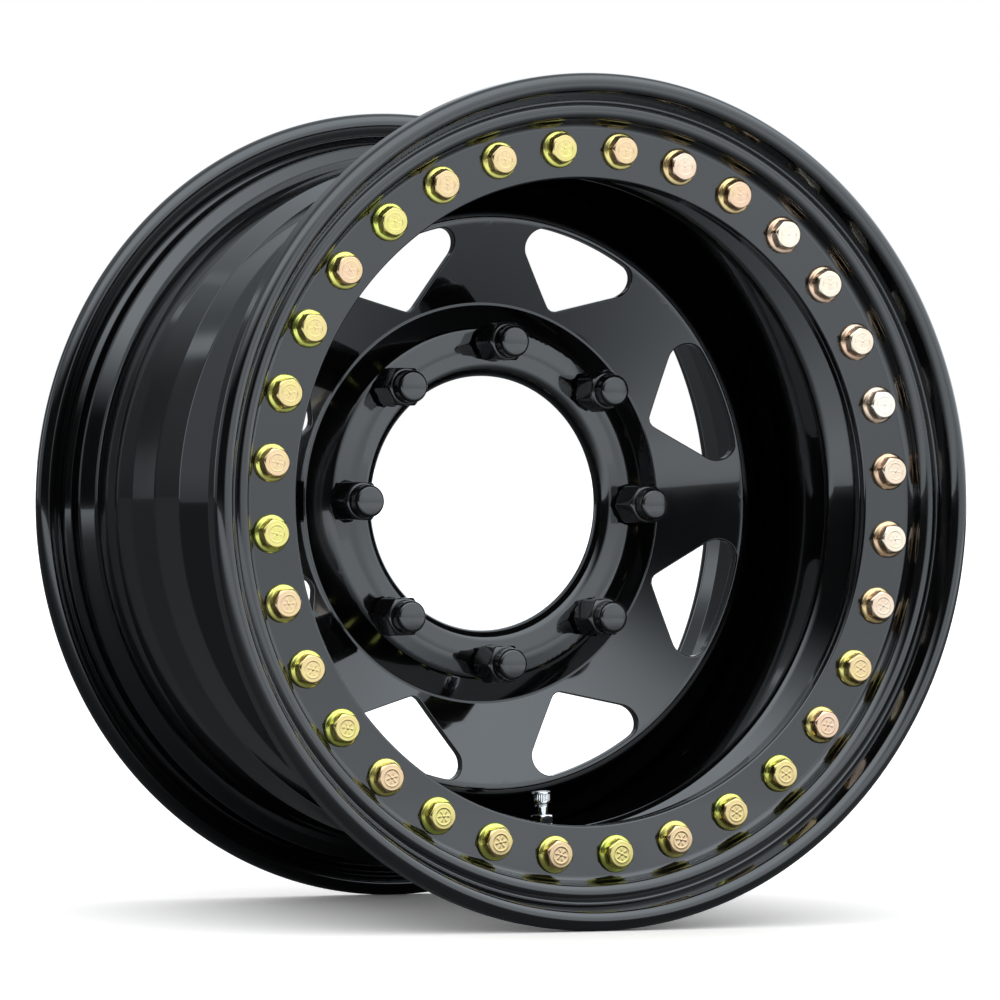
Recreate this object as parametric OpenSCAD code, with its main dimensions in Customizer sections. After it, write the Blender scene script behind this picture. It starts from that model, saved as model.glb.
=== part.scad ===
// Steel beadlock wheel, 15 by 8 inch, in millimetres.
// The wheel spins about Y. Its face looks towards -Y, +Z is up, and the origin is the centre of the
// plane where the wheel seats on the hub. Angles round the wheel run clockwise from the top.

/* [Rim] */
// From the hub plane forward to the clamp ring's flat face
face_depth = 116.4; // [110:0.1:122]
// From the hub plane back to the rear edge of the rim
backspacing = 101.6; // [97:0.1:106]
// Thickness of the rim's sheet
rim_wall = 4; // [3:0.1:4.5]
// Outside radius of both bead seats
seat_r = 189.5; // [188.6:0.1:190]
// Width of the front bead seat
front_seat_w = 23.8; // [21:0.1:25]
// Depth of the drop well under the bead seats
well_depth = 20.1; // [18:0.1:22]
// Share of the room from the front wall to the land that the well's flat floor takes
well_share = 0.648; // [0.6:0.002:0.66]
// How far the land that carries the wheel centre stands over the well's floor
land_rise = 7.8; // [7:0.1:9]
// How far the land starts ahead of the hub plane
land_ahead = 14.2; // [12:0.1:16]
// How far the land runs behind the hub plane
land_behind = 23; // [22.5:0.1:26]
// How far the rear taper rises over the land
taper_rise = 5.8; // [5:0.1:6.5]
// Height of the rear flange over the bead seats
rear_flange_h = 16.7; // [15:0.1:18.5]
// Radius of the rolled edge on the rear lip
rear_roll_r = 6; // [5.8:0.1:6.5]

/* [Wheel centre] */
// Thickness of the pressed centre
centre_wall = 5; // [4.5:0.1:5.5]
// Radius of the hub bore
hub_r = 65.4; // [60:0.1:66.5]
// Diameter of the lug circle
lug_circle_d = 165.1; // [164:0.1:166.5]
// Number of lug holes
lug_count = 8; // [8:1:8]
// Radius of the straight part of a lug hole
lug_hole_r = 7.4; // [7.2:0.1:7.6]
// Depth of the cone that a lug nut seats on
lug_seat_depth = 1.75; // [1.5:0.05:2]
// Height of the domed lug band over the hub face
pad_rise = 8; // [7:0.1:9]
// Radius of the rounding where the sheet turns into the hub bore
bore_round_r = 7.5; // [6:0.1:8]
// Distance from the lug circle out to the crease at the foot of the spoke face
crease_reach = 20.65; // [19.5:0.05:22.5]
// Width of the sloping band between the spoke face and the welding flange
flare_w = 24.8; // [23:0.1:25.6]
// How far that corner stands ahead of the hub plane
shoulder_depth = 23.1; // [21:0.1:25]
// Slope of the outer flange away from the wheel plane
flare_angle = 49.3; // [48:0.1:51]
// Length of the straight welding edge of the outer flange
flange_edge = 16; // [13:0.1:16.5]

/* [Windows] */
// Number of windows
window_count = 8; // [4:1:8]
// Where the first window stands, clockwise from the top
window_angle = 21.2; // [20:0.1:24]
// Distance from a window's outer edge out to the corner of the spoke face
window_margin = 4.1; // [3.5:0.1:8]
// Distance from the crease out to a window's inner tip
window_foot = 3.8; // [3:0.1:7]
// Half the angle between the centres of its two outer corners
window_half_angle = 9.9; // [7:0.1:10.5]
// Radius of the outer corners as a share of the window's height
window_corner_share = 0.237; // [0.2:0.001:0.3]
// Radius of the inner tip's rounding as a share of the window's height
window_tip_share = 0.142; // [0.12:0.001:0.2]

/* [Beadlock rings] */
// Thickness of the clamp ring
clamp_wall = 4.8; // [4.5:0.1:5]
// Width of both rings inside the bead seat
ring_w = 27.4; // [26.6:0.1:29]
// Thickness of the welded bead ring
bead_ring_wall = 4.6; // [4:0.1:6]
// How far outside the bead seat the clamp ring's inner bead rises
bead_step = 1.1; // [0.8:0.1:2]
// Height of the inner bead over the flat
inner_bead_h = 9.9; // [9.4:0.1:10.4]
// Radius of the crown of the inner bead
inner_bead_crown = 5.4; // [5.2:0.1:5.5]
// Distance from the rise of the inner bead out to the edge of the outer lip
lip_reach = 23.4; // [23.2:0.1:25]
// Height of the outer lip over the flat
outer_lip_h = 19; // [18.6:0.1:20]
// Radius of the crown of the outer lip
outer_lip_crown = 5.2; // [5.1:0.1:5.3]
// How far the outer lip reaches back from its crown
outer_lip_skirt = 12; // [10:0.1:14]

/* [Beadlock bolts] */
// Number of clamp bolts
bolt_count = 32; // [16:1:32]
// Distance from the bead seat in to the bolt circle
bolt_inset = 12.5; // [12.5:0.1:13.1]
// Radius of the threaded shank
bolt_r = 4.7; // [4:0.1:4.76]
// Length under the head
bolt_length = 25.4; // [20:0.1:27]
// Radius of the flange under the head
bolt_flange_r = 9.5; // [9:0.1:9.6]
// Height of the head
bolt_head_h = 6.5; // [5.5:0.1:8]
// Width of the hexagon across its flats
bolt_hex = 13.7; // [13:0.1:14.3]

/* [Lug nuts] */
// Width of the hexagon across its flats
nut_hex = 19.05; // [18:0.05:20]
// Length of the hexagon
nut_hex_h = 16.7; // [14:0.1:18]
// Radius of the round tip
nut_tip_r = 8.25; // [7.8:0.05:8.6]
// Length of the round tip
nut_tip_h = 9; // [7:0.1:11]
// Radius at the wide end of the seating cone
nut_cone_r = 10.2; // [9.8:0.1:10.5]
// Radius of the threaded hole
nut_thread_r = 6.1; // [5.8:0.05:6.2]
// Depth of the threaded hole
nut_thread_depth = 21; // [18:0.1:23]

/* [Valve] */
// Angle of the valve round the wheel
valve_angle = 177.3; // [175:0.1:182]
// Where the valve stands on the well's floor, as a share of its width from the front
valve_share = 0.382; // [0.3:0.002:0.6]
// Radius of the stem
stem_r = 3.85; // [3.8:0.05:4]
// Height of the stem over its seat
stem_h = 16.9; // [16:0.1:19]
// Radius of the stem's head inside the tyre
stem_head_r = 7.5; // [7:0.1:8]
// Radius of the hole for the valve in the rim
valve_hole_r = 5.8; // [5.7:0.1:6.2]
// Radius of the grommet's flange
grommet_r = 8.2; // [8:0.1:8.5]
// Thickness of the grommet's flange
grommet_t = 2; // [1.5:0.1:2.5]
// Width of the hexagon nut across its flats
valve_nut_hex = 11; // [10.5:0.1:12]
// Thickness of the hexagon nut
valve_nut_h = 5.4; // [4:0.1:6.5]
// Radius of the cap
cap_r = 4.9; // [4.9:0.05:5.4]
// Length of the cap
cap_h = 6.3; // [5.5:0.1:7.5]
// Radius of the core's pin
core_pin_r = 0.6; // [0.5:0.05:0.65]

/* [Fits] */
// Gap between wheel centre and rim before welding
weld_gap = 0.1; // [0.05:0.05:0.3]
// Gap round a bolt in the clamp ring
bolt_gap = 0.45; // [0.3:0.05:0.6]
// Gap between a thread's two parts
thread_gap = 0.06; // [0.04:0.01:0.1]
// Gap between a lug nut and its cone seat
nut_gap = 0.05; // [0.03:0.01:0.1]
// Gap between two faces that seat on each other
seat_gap = 0.05; // [0.03:0.01:0.1]
// Running gap between the core's pin and its bore
pin_gap = 0.05; // [0.03:0.01:0.08]
// Gap round the stem inside its cap
cap_gap = 0.1; // [0.05:0.05:0.2]

/* [Hidden] */
$fn = 64;

// How finely a bend is broken into straight steps, in degrees
bend_step = 12;
// How far a cutting tool runs past a face
reach = 1;
full_turn = 360;
// The cone of a lug seat stands at half this angle to its axis
lug_cone_angle = 60;
cone_rate = tan(lug_cone_angle / 2);
// A hexagon's corner radius for each millimetre across its flats
hex_corner = 1 / sqrt(3);

// Radii of the rim, its rings and its bolts, taken from the bead seats
well_r = seat_r - well_depth;
land_r = well_r + land_rise;
taper_r = land_r + taper_rise;
rear_lip_r = seat_r + rear_flange_h;
ring_inner_r = seat_r - ring_w;
bolt_circle_r = seat_r - bolt_inset;
inner_bead_r = seat_r + bead_step;
outer_lip_r = inner_bead_r + lip_reach;
rim_inner_r = well_r - rim_wall;

// Radii of the wheel centre
lug_circle_r = lug_circle_d / 2;
crease_r = lug_circle_r + crease_reach;
flange_r = land_r - rim_wall - weld_gap;
shoulder_r = flange_r - flare_w;

// Stations along the axle, from the front
ring_face = -face_depth;
ring_seam = ring_face + clamp_wall;
barrel_front = ring_seam + bead_ring_wall;
front_seat_end = barrel_front + front_seat_w;
// Slope of the wall between the front seat and the drop well
well_slope = 30;
well_front = front_seat_end + well_depth * tan(well_slope);
land_front = -land_ahead;
well_w = well_share * (land_front - well_front);
well_end = well_front + well_w;
valve_station = well_front + valve_share * well_w;
pad_face = -centre_wall - pad_rise;
// The domed band has fallen this far below its top at the lug circle
dome_drop = 0.4;
seat_floor = pad_face + dome_drop + lug_seat_depth;

// Stations near the rear edge, measured from it
hump_foot = 29;
hump_top = 21.5;
heel = 13.5;
lip_root = 7.7;
// The root of the rolled edge stands this far out from the rear seat
root_rise = 4.7;
// The flange leans out by this much before its edge rolls over
flange_lean = 3.7;
// Length of the straight end of the rolled edge
roll_tail = 1;

bolt_hole_r = bolt_r + bolt_gap;
tapped_r = bolt_r + thread_gap;

function flat(p) = [p[0], p[1]];
function unit(v) = v / norm(v);
function left(u) = [-u[1], u[0]];
function reversed(list) = [for (i = [len(list) - 1:-1:0]) list[i]];

// The rounded corner between a, q and b as points on an arc of radius q[2]
function bend(a, q, b) =
    let (u = unit(flat(q) - flat(a)), v = unit(flat(b) - flat(q)), turn = atan2(cross(u, v), u * v),
         side = sign(turn), r = q[2], steps = ceil(abs(turn) / bend_step),
         start = flat(q) - r * tan(abs(turn) / 2) * u, centre = start + side * r * left(u))
    [for (k = [0:steps]) let (w = turn * k / steps)
        centre - side * r * (cos(w) * left(u) - sin(w) * u)];

// A path of corners [x, y, bend radius] as a plain list of points
function rounded(path) = [for (i = [0:len(path) - 1])
    each (i == 0 || i == len(path) - 1 || path[i][2] <= 0
        ? [flat(path[i])] : bend(path[i - 1], path[i], path[i + 1]))];

// The same path moved sideways, so that its bends keep their centres
function moved(path, off) = [for (i = [0:len(path) - 1])
    let (p = flat(path[i]), last = len(path) - 1,
         u = i > 0 ? unit(p - flat(path[i - 1])) : unit(flat(path[1]) - p),
         v = i < last ? unit(flat(path[i + 1]) - p) : u,
         n = left(u) + left(v), q = p + 2 * off * n / (n * n))
    [q[0], q[1], max(0, path[i][2] - off * sign(cross(u, v)))]];

// The closed section of a bent sheet, whose wall lies to the left of its path
function sheet(path, wall) = concat(rounded(path), reversed(rounded(moved(path, wall))));

// Paths of radius, station and bend radius, from the front or from the bore outwards
barrel_path = [
    [seat_r, barrel_front, 0],
    [seat_r, front_seat_end, 8],
    [well_r, well_front, 2.2],
    [well_r, well_end, 12],
    [land_r, land_front, 5],
    [land_r, land_behind, 20],
    [taper_r, backspacing - hump_foot, 5],
    [seat_r, backspacing - hump_top, 4],
    [seat_r, backspacing - heel, 3],
    [seat_r + root_rise, backspacing - lip_root, 0.3],
    [rear_lip_r - rear_roll_r - flange_lean, backspacing - 2 * rear_roll_r, rear_roll_r],
    [rear_lip_r, backspacing - 2 * rear_roll_r, rear_roll_r],
    [rear_lip_r, backspacing, rear_roll_r],
    [rear_lip_r - rear_roll_r - roll_tail, backspacing, 0]];

// The lug band's dome is highest just inside the lug circle and falls to both sides
dome_inset = 3;
bore_drop = 1.8;
brow_reach = 7.5;
brow_drop = 1.3;
// Width of the narrow face that seats on the hub, inside the crease
crease_w = 3.4;
flare_end = flare_w * tan(flare_angle) - shoulder_depth;
centre_path = [
    [hub_r, 0, 0],
    [hub_r, pad_face + bore_drop, bore_round_r],
    [lug_circle_r - dome_inset, pad_face, 30],
    [lug_circle_r + brow_reach, pad_face + brow_drop, 9],
    [crease_r - crease_w, -centre_wall, 1.2],
    [crease_r, -centre_wall, 1],
    [shoulder_r, -shoulder_depth, 7],
    [flange_r, flare_end, 9],
    [flange_r, flare_end + flange_edge, 0]];

// The valley between the clamp ring's two beads, and the slopes down to it and up from it
valley_reach = 9.8;
valley_drop = 1.9;
valley_slope_w = 2.7;
lip_slope_w = 8.5;
valley_r = inner_bead_r + valley_reach;
clamp_path = [
    [ring_inner_r, ring_face, 0],
    [inner_bead_r, ring_face, 4],
    [inner_bead_r, ring_face - inner_bead_h, inner_bead_crown],
    [valley_r - valley_slope_w, ring_face - inner_bead_h, inner_bead_crown],
    [valley_r, ring_face - inner_bead_h + valley_drop, 1],
    [outer_lip_r - lip_slope_w, ring_face - outer_lip_h, outer_lip_crown],
    [outer_lip_r, ring_face - outer_lip_h, outer_lip_crown],
    [outer_lip_r, ring_face - outer_lip_h + outer_lip_skirt, 0]];

// Turns a shape that is drawn about z so that it stands on the axle
module on_axle() rotate([-90, 0, 0]) children();

// Carries a shape drawn at the top of the wheel clockwise round the axle
module around(angle) rotate([0, angle, 0]) children();

// Turns a shape so that its z points out of the wheel's face
module facing() rotate([90, 0, 0]) children();

// Places a shape at the valve, with z pointing from the drop well to the axle
module at_valve() around(valve_angle - 180) translate([0, valve_station, -rim_inner_r]) children();

module ring_of(points) on_axle() rotate_extrude($fn = 180) polygon(points);

module barrel() color([0.05, 0.05, 0.055])
    difference() {
        ring_of(sheet(barrel_path, rim_wall));
        at_valve() translate([0, 0, -rim_wall - reach]) cylinder(r = valve_hole_r, h = rim_wall + 2 * reach);
    }

window_outer_r = shoulder_r - window_margin;
window_inner_r = crease_r + window_foot;
window_h = window_outer_r - window_inner_r;
window_corner_r = window_corner_share * window_h;
window_tip_r = window_tip_share * window_h;
// The corner circles of a window stand inside its outer edge
corner_orbit = window_outer_r - window_corner_r;
tip_centre = [window_inner_r + window_tip_r, 0];
corner_centre = corner_orbit * [cos(window_half_angle), sin(window_half_angle)];
tip_to_corner = corner_centre - tip_centre;
// Where the straight side touches the tip's circle and the corner's circle
side_angle = atan2(tip_to_corner[1], tip_to_corner[0])
    + acos((window_tip_r - window_corner_r) / norm(tip_to_corner));
corner_step = 9;

function arc(centre, r, from, to, step) =
    let (steps = ceil(abs(to - from) / step))
    [for (k = [0:steps]) let (a = from + (to - from) * k / steps) centre + r * [cos(a), sin(a)]];

window_half = concat(
    arc([0, 0], window_outer_r, 0, window_half_angle, 3),
    arc(corner_centre, window_corner_r, window_half_angle + corner_step, side_angle, corner_step),
    arc(tip_centre, window_tip_r, side_angle, 180, corner_step));
window_outline = concat(window_half, reversed([for (p = window_half) if (p[1] > 0.001) [p[0], -p[1]]]));

module window_cutter(angle)
    on_axle() rotate([0, 0, angle - 90]) translate([0, 0, -shoulder_depth - reach])
        linear_extrude(height = shoulder_depth + centre_wall + 2 * reach) polygon(window_outline);

// A straight hole with a cone for the nut, cut from the back of the lug band
module lug_cutter(angle)
    around(angle) translate([0, seat_floor, lug_circle_r]) facing() {
        translate([0, 0, -centre_wall]) cylinder(r = lug_hole_r, h = centre_wall + reach);
        cylinder(r1 = lug_hole_r, r2 = lug_hole_r + (lug_seat_depth + reach) * cone_rate,
                 h = lug_seat_depth + reach);
    }

module wheel_centre() color([0.05, 0.05, 0.055])
    difference() {
        ring_of(sheet(centre_path, centre_wall));
        for (k = [0:window_count - 1]) window_cutter(window_angle + k * full_turn / window_count);
        for (k = [0:lug_count - 1]) lug_cutter(k * full_turn / lug_count);
    }

function bolt_angle(k) = (k + 0.5) * full_turn / bolt_count;

// Round holes through both rings at every bolt
module bolt_cutters(radius)
    for (k = [0:bolt_count - 1]) around(bolt_angle(k)) translate([0, barrel_front + reach, bolt_circle_r])
        facing() cylinder(r = radius, h = clamp_wall + bead_ring_wall + 2 * reach);

module bead_ring() color([0.05, 0.05, 0.055])
    difference() {
        ring_of([[ring_inner_r, ring_seam], [seat_r, ring_seam], [seat_r, barrel_front],
                 [ring_inner_r, barrel_front]]);
        bolt_cutters(tapped_r);
    }

module clamp_ring() color([0.05, 0.05, 0.055])
    difference() {
        ring_of(sheet(clamp_path, clamp_wall));
        bolt_cutters(bolt_hole_r);
    }

flange_rim_h = 1.5;
flange_cone_h = 1.7;
flange_cone_r = 7.5;
// Each head stops at its own angle
function head_turn(k) = (k * 37 + k * k * 11) % 60;

// The hexagon's corners are turned down to this radius at the top
bolt_top_r = bolt_hex / 2 - 0.6;

module beadlock_bolt(turn)
    union() {
        cylinder(r = bolt_flange_r, h = flange_rim_h);
        translate([0, 0, flange_rim_h]) cylinder(r1 = bolt_flange_r, r2 = flange_cone_r, h = flange_cone_h);
        intersection() {
            rotate([0, 0, turn]) cylinder(r = bolt_hex * hex_corner, h = bolt_head_h, $fn = 6);
            cylinder(r1 = bolt_top_r + bolt_head_h, r2 = bolt_top_r, h = bolt_head_h);
        }
        translate([0, 0, -bolt_length]) cylinder(r = bolt_r, h = bolt_length + reach);
    }

module beadlock_bolts() color([0.75, 0.68, 0.38])
    for (k = [0:bolt_count - 1])
        around(bolt_angle(k)) translate([0, ring_face, bolt_circle_r]) facing() beadlock_bolt(head_turn(k));

// The nose of the nut stops short of the straight part of its hole
nose_gap = 0.5;
nose_r = lug_hole_r + nose_gap * cone_rate - nut_gap;
cone_end = (nut_cone_r + nut_gap - lug_hole_r) / cone_rate;
nut_turns = [0, 11, 30, 20, 4, 47, 28, 15];
// The round tip's edge is rounded and its end is a low dome
tip_edge_r = 2.2;
tip_dome_h = 1;
nut_shoulder = 1;
nut_top = cone_end + nut_hex_h + nut_tip_h;

module lathe(points) rotate_extrude($fn = 64) polygon(points);

// The outline of a round end, from its side over a rounded edge to the top of its dome
function round_end(r, top, edge, dome) =
    concat(arc([r - edge, top - dome - edge], edge, 0, 80, 16), [[0, top]]);

module lug_nut(k) color([0.06, 0.06, 0.065])
    around(k * full_turn / lug_count) translate([0, seat_floor, lug_circle_r]) facing() difference() {
        union() {
            translate([0, 0, nose_gap]) cylinder(r1 = nose_r, r2 = nut_cone_r, h = cone_end - nose_gap);
            translate([0, 0, cone_end]) intersection() {
                rotate([0, 0, nut_turns[k % len(nut_turns)]])
                    cylinder(r = nut_hex * hex_corner, h = nut_hex_h, $fn = 6);
                cylinder(r1 = nut_tip_r + nut_shoulder + nut_hex_h, r2 = nut_tip_r + nut_shoulder, h = nut_hex_h);
            }
            lathe(concat([[0, cone_end + nut_hex_h - reach], [nut_tip_r, cone_end + nut_hex_h - reach]],
                round_end(nut_tip_r, nut_top, tip_edge_r, tip_dome_h)));
        }
        translate([0, 0, nose_gap - reach]) cylinder(r = nut_thread_r, h = nut_thread_depth + reach);
    }

// Heights along the valve, from the inner face of the drop well
washer_r = 7;
washer_t = 1;
// A flat washer on the hollow of the well touches at its two sides first
washer_seat = rim_inner_r - sqrt(pow(rim_inner_r, 2) - pow(washer_r, 2)) + seat_gap;
nut_seat = washer_seat + washer_t + seat_gap;
stem_tip = washer_seat + stem_h;
grommet_seat = -rim_wall - seat_gap;
head_seat = grommet_seat - grommet_t - seat_gap;
head_t = 2;
// The grommet's sleeve stops this far short of the well's inner face
sleeve_short = 0.5;
stem_chamfer = 0.4;
cap_inner_r = stem_r + cap_gap;
cap_seal_t = 0.6;
cap_seal_hole_r = 1.6;
cap_seal_r = stem_r - 0.2;
cap_roof = stem_tip + cap_seal_t + 2 * seat_gap;
cap_roof_t = 1;
cap_top = cap_roof + cap_roof_t;
cap_edge_r = 1;
cap_dome_h = 0.3;
// The core's thread, its seat and its plunger, measured down from the stem's tip
core_r = 2.6;
core_sink = 1.2;
core_h = 8;
core_top = stem_tip - core_sink;
core_end = core_top - core_h;
core_thread_h = 3.1;
core_neck_r = 1.35;
seal_drop = 3.6;
seal_top = core_top - seal_drop;
seal_h = 2.2;
seal_edge_h = 0.8;
// The seal sits on a conical step in the stem's bore
bore_step_drop = 0.6;
bore_cone_h = 0.9;
bore_step = seal_top - seal_h - bore_step_drop;
lower_bore_r = 1.9;
seal_foot_r = 2;
spring_room = 6;
spring_floor = core_end - spring_room;
vent_r = 1.1;
plunger_t = 0.6;
plunger_r = 1.55;
plunger_seal_t = 0.5;
plunger_top = core_end - plunger_seal_t - 2 * seat_gap;
plunger_low = plunger_top - plunger_t;
pin_sink = 0.3;
pin_tip = stem_tip - pin_sink;
pin_foot = spring_floor + 1;

// A tube between two radii and two heights
module tube(inner, outer, low, high) lathe([[inner, low], [outer, low], [outer, high], [inner, high]]);

// A hexagon nut with a round bore
module hex_nut(flats, bore, low, high)
    translate([0, 0, low]) difference() {
        cylinder(r = flats * hex_corner, h = high - low, $fn = 6);
        translate([0, 0, -reach]) cylinder(r = bore, h = high - low + 2 * reach);
    }

module valve_stem() color([0.8, 0.8, 0.82]) at_valve()
    lathe([[vent_r, head_seat - head_t], [stem_head_r, head_seat - head_t], [stem_head_r, head_seat],
           [stem_r, head_seat], [stem_r, stem_tip - stem_chamfer], [stem_r - stem_chamfer, stem_tip],
           [core_r + thread_gap, stem_tip], [core_r + thread_gap, bore_step + bore_cone_h], [lower_bore_r, bore_step],
           [lower_bore_r, spring_floor], [vent_r, spring_floor]]);

module valve_grommet() color([0.1, 0.1, 0.1]) at_valve()
    lathe([[stem_r + seat_gap, grommet_seat - grommet_t], [grommet_r, grommet_seat - grommet_t],
           [grommet_r, grommet_seat], [valve_hole_r - seat_gap, grommet_seat],
           [valve_hole_r - seat_gap, -sleeve_short], [stem_r + seat_gap, -sleeve_short]]);

module valve_washer() color([0.78, 0.78, 0.8]) at_valve()
    tube(stem_r + seat_gap, washer_r, washer_seat, washer_seat + washer_t);

module valve_nut() color([0.8, 0.8, 0.82]) at_valve()
    hex_nut(valve_nut_hex, stem_r + thread_gap, nut_seat, nut_seat + valve_nut_h);

module core_body() color([0.78, 0.65, 0.32]) at_valve()
    lathe([[core_pin_r + pin_gap, core_end], [core_neck_r, core_end], [core_neck_r, core_top - core_thread_h],
           [core_r, core_top - core_thread_h], [core_r, core_top], [core_pin_r + pin_gap, core_top]]);

module core_seal() color([0.9, 0.88, 0.82]) at_valve()
    lathe([[core_neck_r + seat_gap, seal_top - seal_h], [seal_foot_r, seal_top - seal_h],
           [core_r, seal_top - seal_edge_h], [core_r, seal_top], [core_neck_r + seat_gap, seal_top]]);

module core_pin() color([0.8, 0.7, 0.4]) at_valve()
    lathe([[0, pin_foot], [core_pin_r, pin_foot], [core_pin_r, plunger_low], [plunger_r, plunger_low],
           [plunger_r, plunger_top], [core_pin_r, plunger_top], [core_pin_r, pin_tip], [0, pin_tip]]);

module pin_seal() color([0.1, 0.1, 0.1]) at_valve()
    tube(core_pin_r + seat_gap, plunger_r, plunger_top + seat_gap, core_end - seat_gap);

// A wire wound round the pin, from the step in the stem to the plunger
spring_wire_r = 0.22;
spring_coil_r = 1.3;
spring_turns = 5;
spring_low = spring_floor + spring_wire_r + seat_gap;
spring_high = plunger_low - seat_gap - spring_wire_r;
spring_steps = 12;
wire_sides = 6;

function spring_point(i) = let (t = i / (spring_turns * spring_steps), a = i * full_turn / spring_steps)
    [spring_coil_r * cos(a), spring_coil_r * sin(a), spring_low + (spring_high - spring_low) * t];

module core_spring() color([0.7, 0.7, 0.72]) at_valve() {
    rings = spring_turns * spring_steps;
    points = [for (i = [0:rings]) let (p = spring_point(i), a = i * full_turn / spring_steps)
        for (j = [0:wire_sides - 1]) let (b = j * full_turn / wire_sides)
            p + spring_wire_r * [cos(b) * cos(a), cos(b) * sin(a), sin(b)]];
    sides = [for (i = [0:rings - 1]) for (j = [0:wire_sides - 1]) let (n = (j + 1) % wire_sides)
        [i * wire_sides + j, (i + 1) * wire_sides + j, (i + 1) * wire_sides + n, i * wire_sides + n]];
    polyhedron(points, concat([[for (j = [0:wire_sides - 1]) j]], sides,
        [[for (j = [wire_sides - 1:-1:0]) rings * wire_sides + j]]));
}

module valve_cap() color([0.82, 0.82, 0.84]) at_valve()
    lathe(concat([[0, cap_roof], [cap_inner_r, cap_roof], [cap_inner_r, cap_top - cap_h],
                  [cap_r, cap_top - cap_h]], round_end(cap_r, cap_top, cap_edge_r, cap_dome_h)));

module cap_seal() color([0.12, 0.12, 0.12]) at_valve()
    tube(cap_seal_hole_r, cap_seal_r, stem_tip + seat_gap, stem_tip + seat_gap + cap_seal_t);

barrel();
wheel_centre();
bead_ring();
clamp_ring();
beadlock_bolts();
for (k = [1:lug_count]) lug_nut(k - 1);
valve_stem();
valve_grommet();
valve_washer();
valve_nut();
core_body();
core_seal();
core_pin();
pin_seal();
core_spring();
valve_cap();
cap_seal();
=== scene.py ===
"""Looks of a steel beadlock wheel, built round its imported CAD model.

Lengths in the classes are millimetres in the wheel's own frame: the axle is Y, the face looks towards -Y,
and Z is up. Angles round the wheel run clockwise from the top.
"""

import logging
import math
from dataclasses import dataclass, field
from enum import Enum

import bpy
import numpy as np
from mathutils import Matrix, Vector

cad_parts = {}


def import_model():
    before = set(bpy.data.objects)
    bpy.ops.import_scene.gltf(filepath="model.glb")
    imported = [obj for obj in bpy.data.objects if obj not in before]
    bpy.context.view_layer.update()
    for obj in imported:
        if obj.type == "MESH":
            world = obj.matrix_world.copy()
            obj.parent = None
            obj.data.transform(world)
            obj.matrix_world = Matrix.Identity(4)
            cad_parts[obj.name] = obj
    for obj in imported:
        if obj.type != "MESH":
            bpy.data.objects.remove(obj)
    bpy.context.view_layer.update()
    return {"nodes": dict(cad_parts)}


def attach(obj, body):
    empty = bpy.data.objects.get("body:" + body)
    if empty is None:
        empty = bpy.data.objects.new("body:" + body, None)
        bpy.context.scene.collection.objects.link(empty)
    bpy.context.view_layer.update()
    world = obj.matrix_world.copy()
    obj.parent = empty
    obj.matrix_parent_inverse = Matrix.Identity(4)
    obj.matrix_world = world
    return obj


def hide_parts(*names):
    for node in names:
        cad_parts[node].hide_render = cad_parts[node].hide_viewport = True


log = logging.getLogger("wheel")

MM = 0.001
FULL_TURN = 2 * math.pi
COAT_ROUGH = 0.03
NOISE_RANGE = (0.3, 0.7)

Array = np.ndarray
Rows = list[tuple[Array | float, Array | float]]
Socket = bpy.types.NodeSocket


class Body(Enum):
    """The bodies that carry new pieces."""

    WHEEL = "wheel"
    CAP = "cap"


class Slot(Enum):
    """Names of the record's material slots; settle takes one for each new piece but does not use it."""

    BLACK = "black_coat"
    ZINC = "yellow_zinc"
    NUT = "black_nut"
    CHROME = "valve_chrome"


def unit(vectors: Array) -> Array:
    """Vectors brought to length one along their last axis."""
    return vectors / np.maximum(np.linalg.norm(vectors, axis=-1, keepdims=True), 1e-12)


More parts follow.
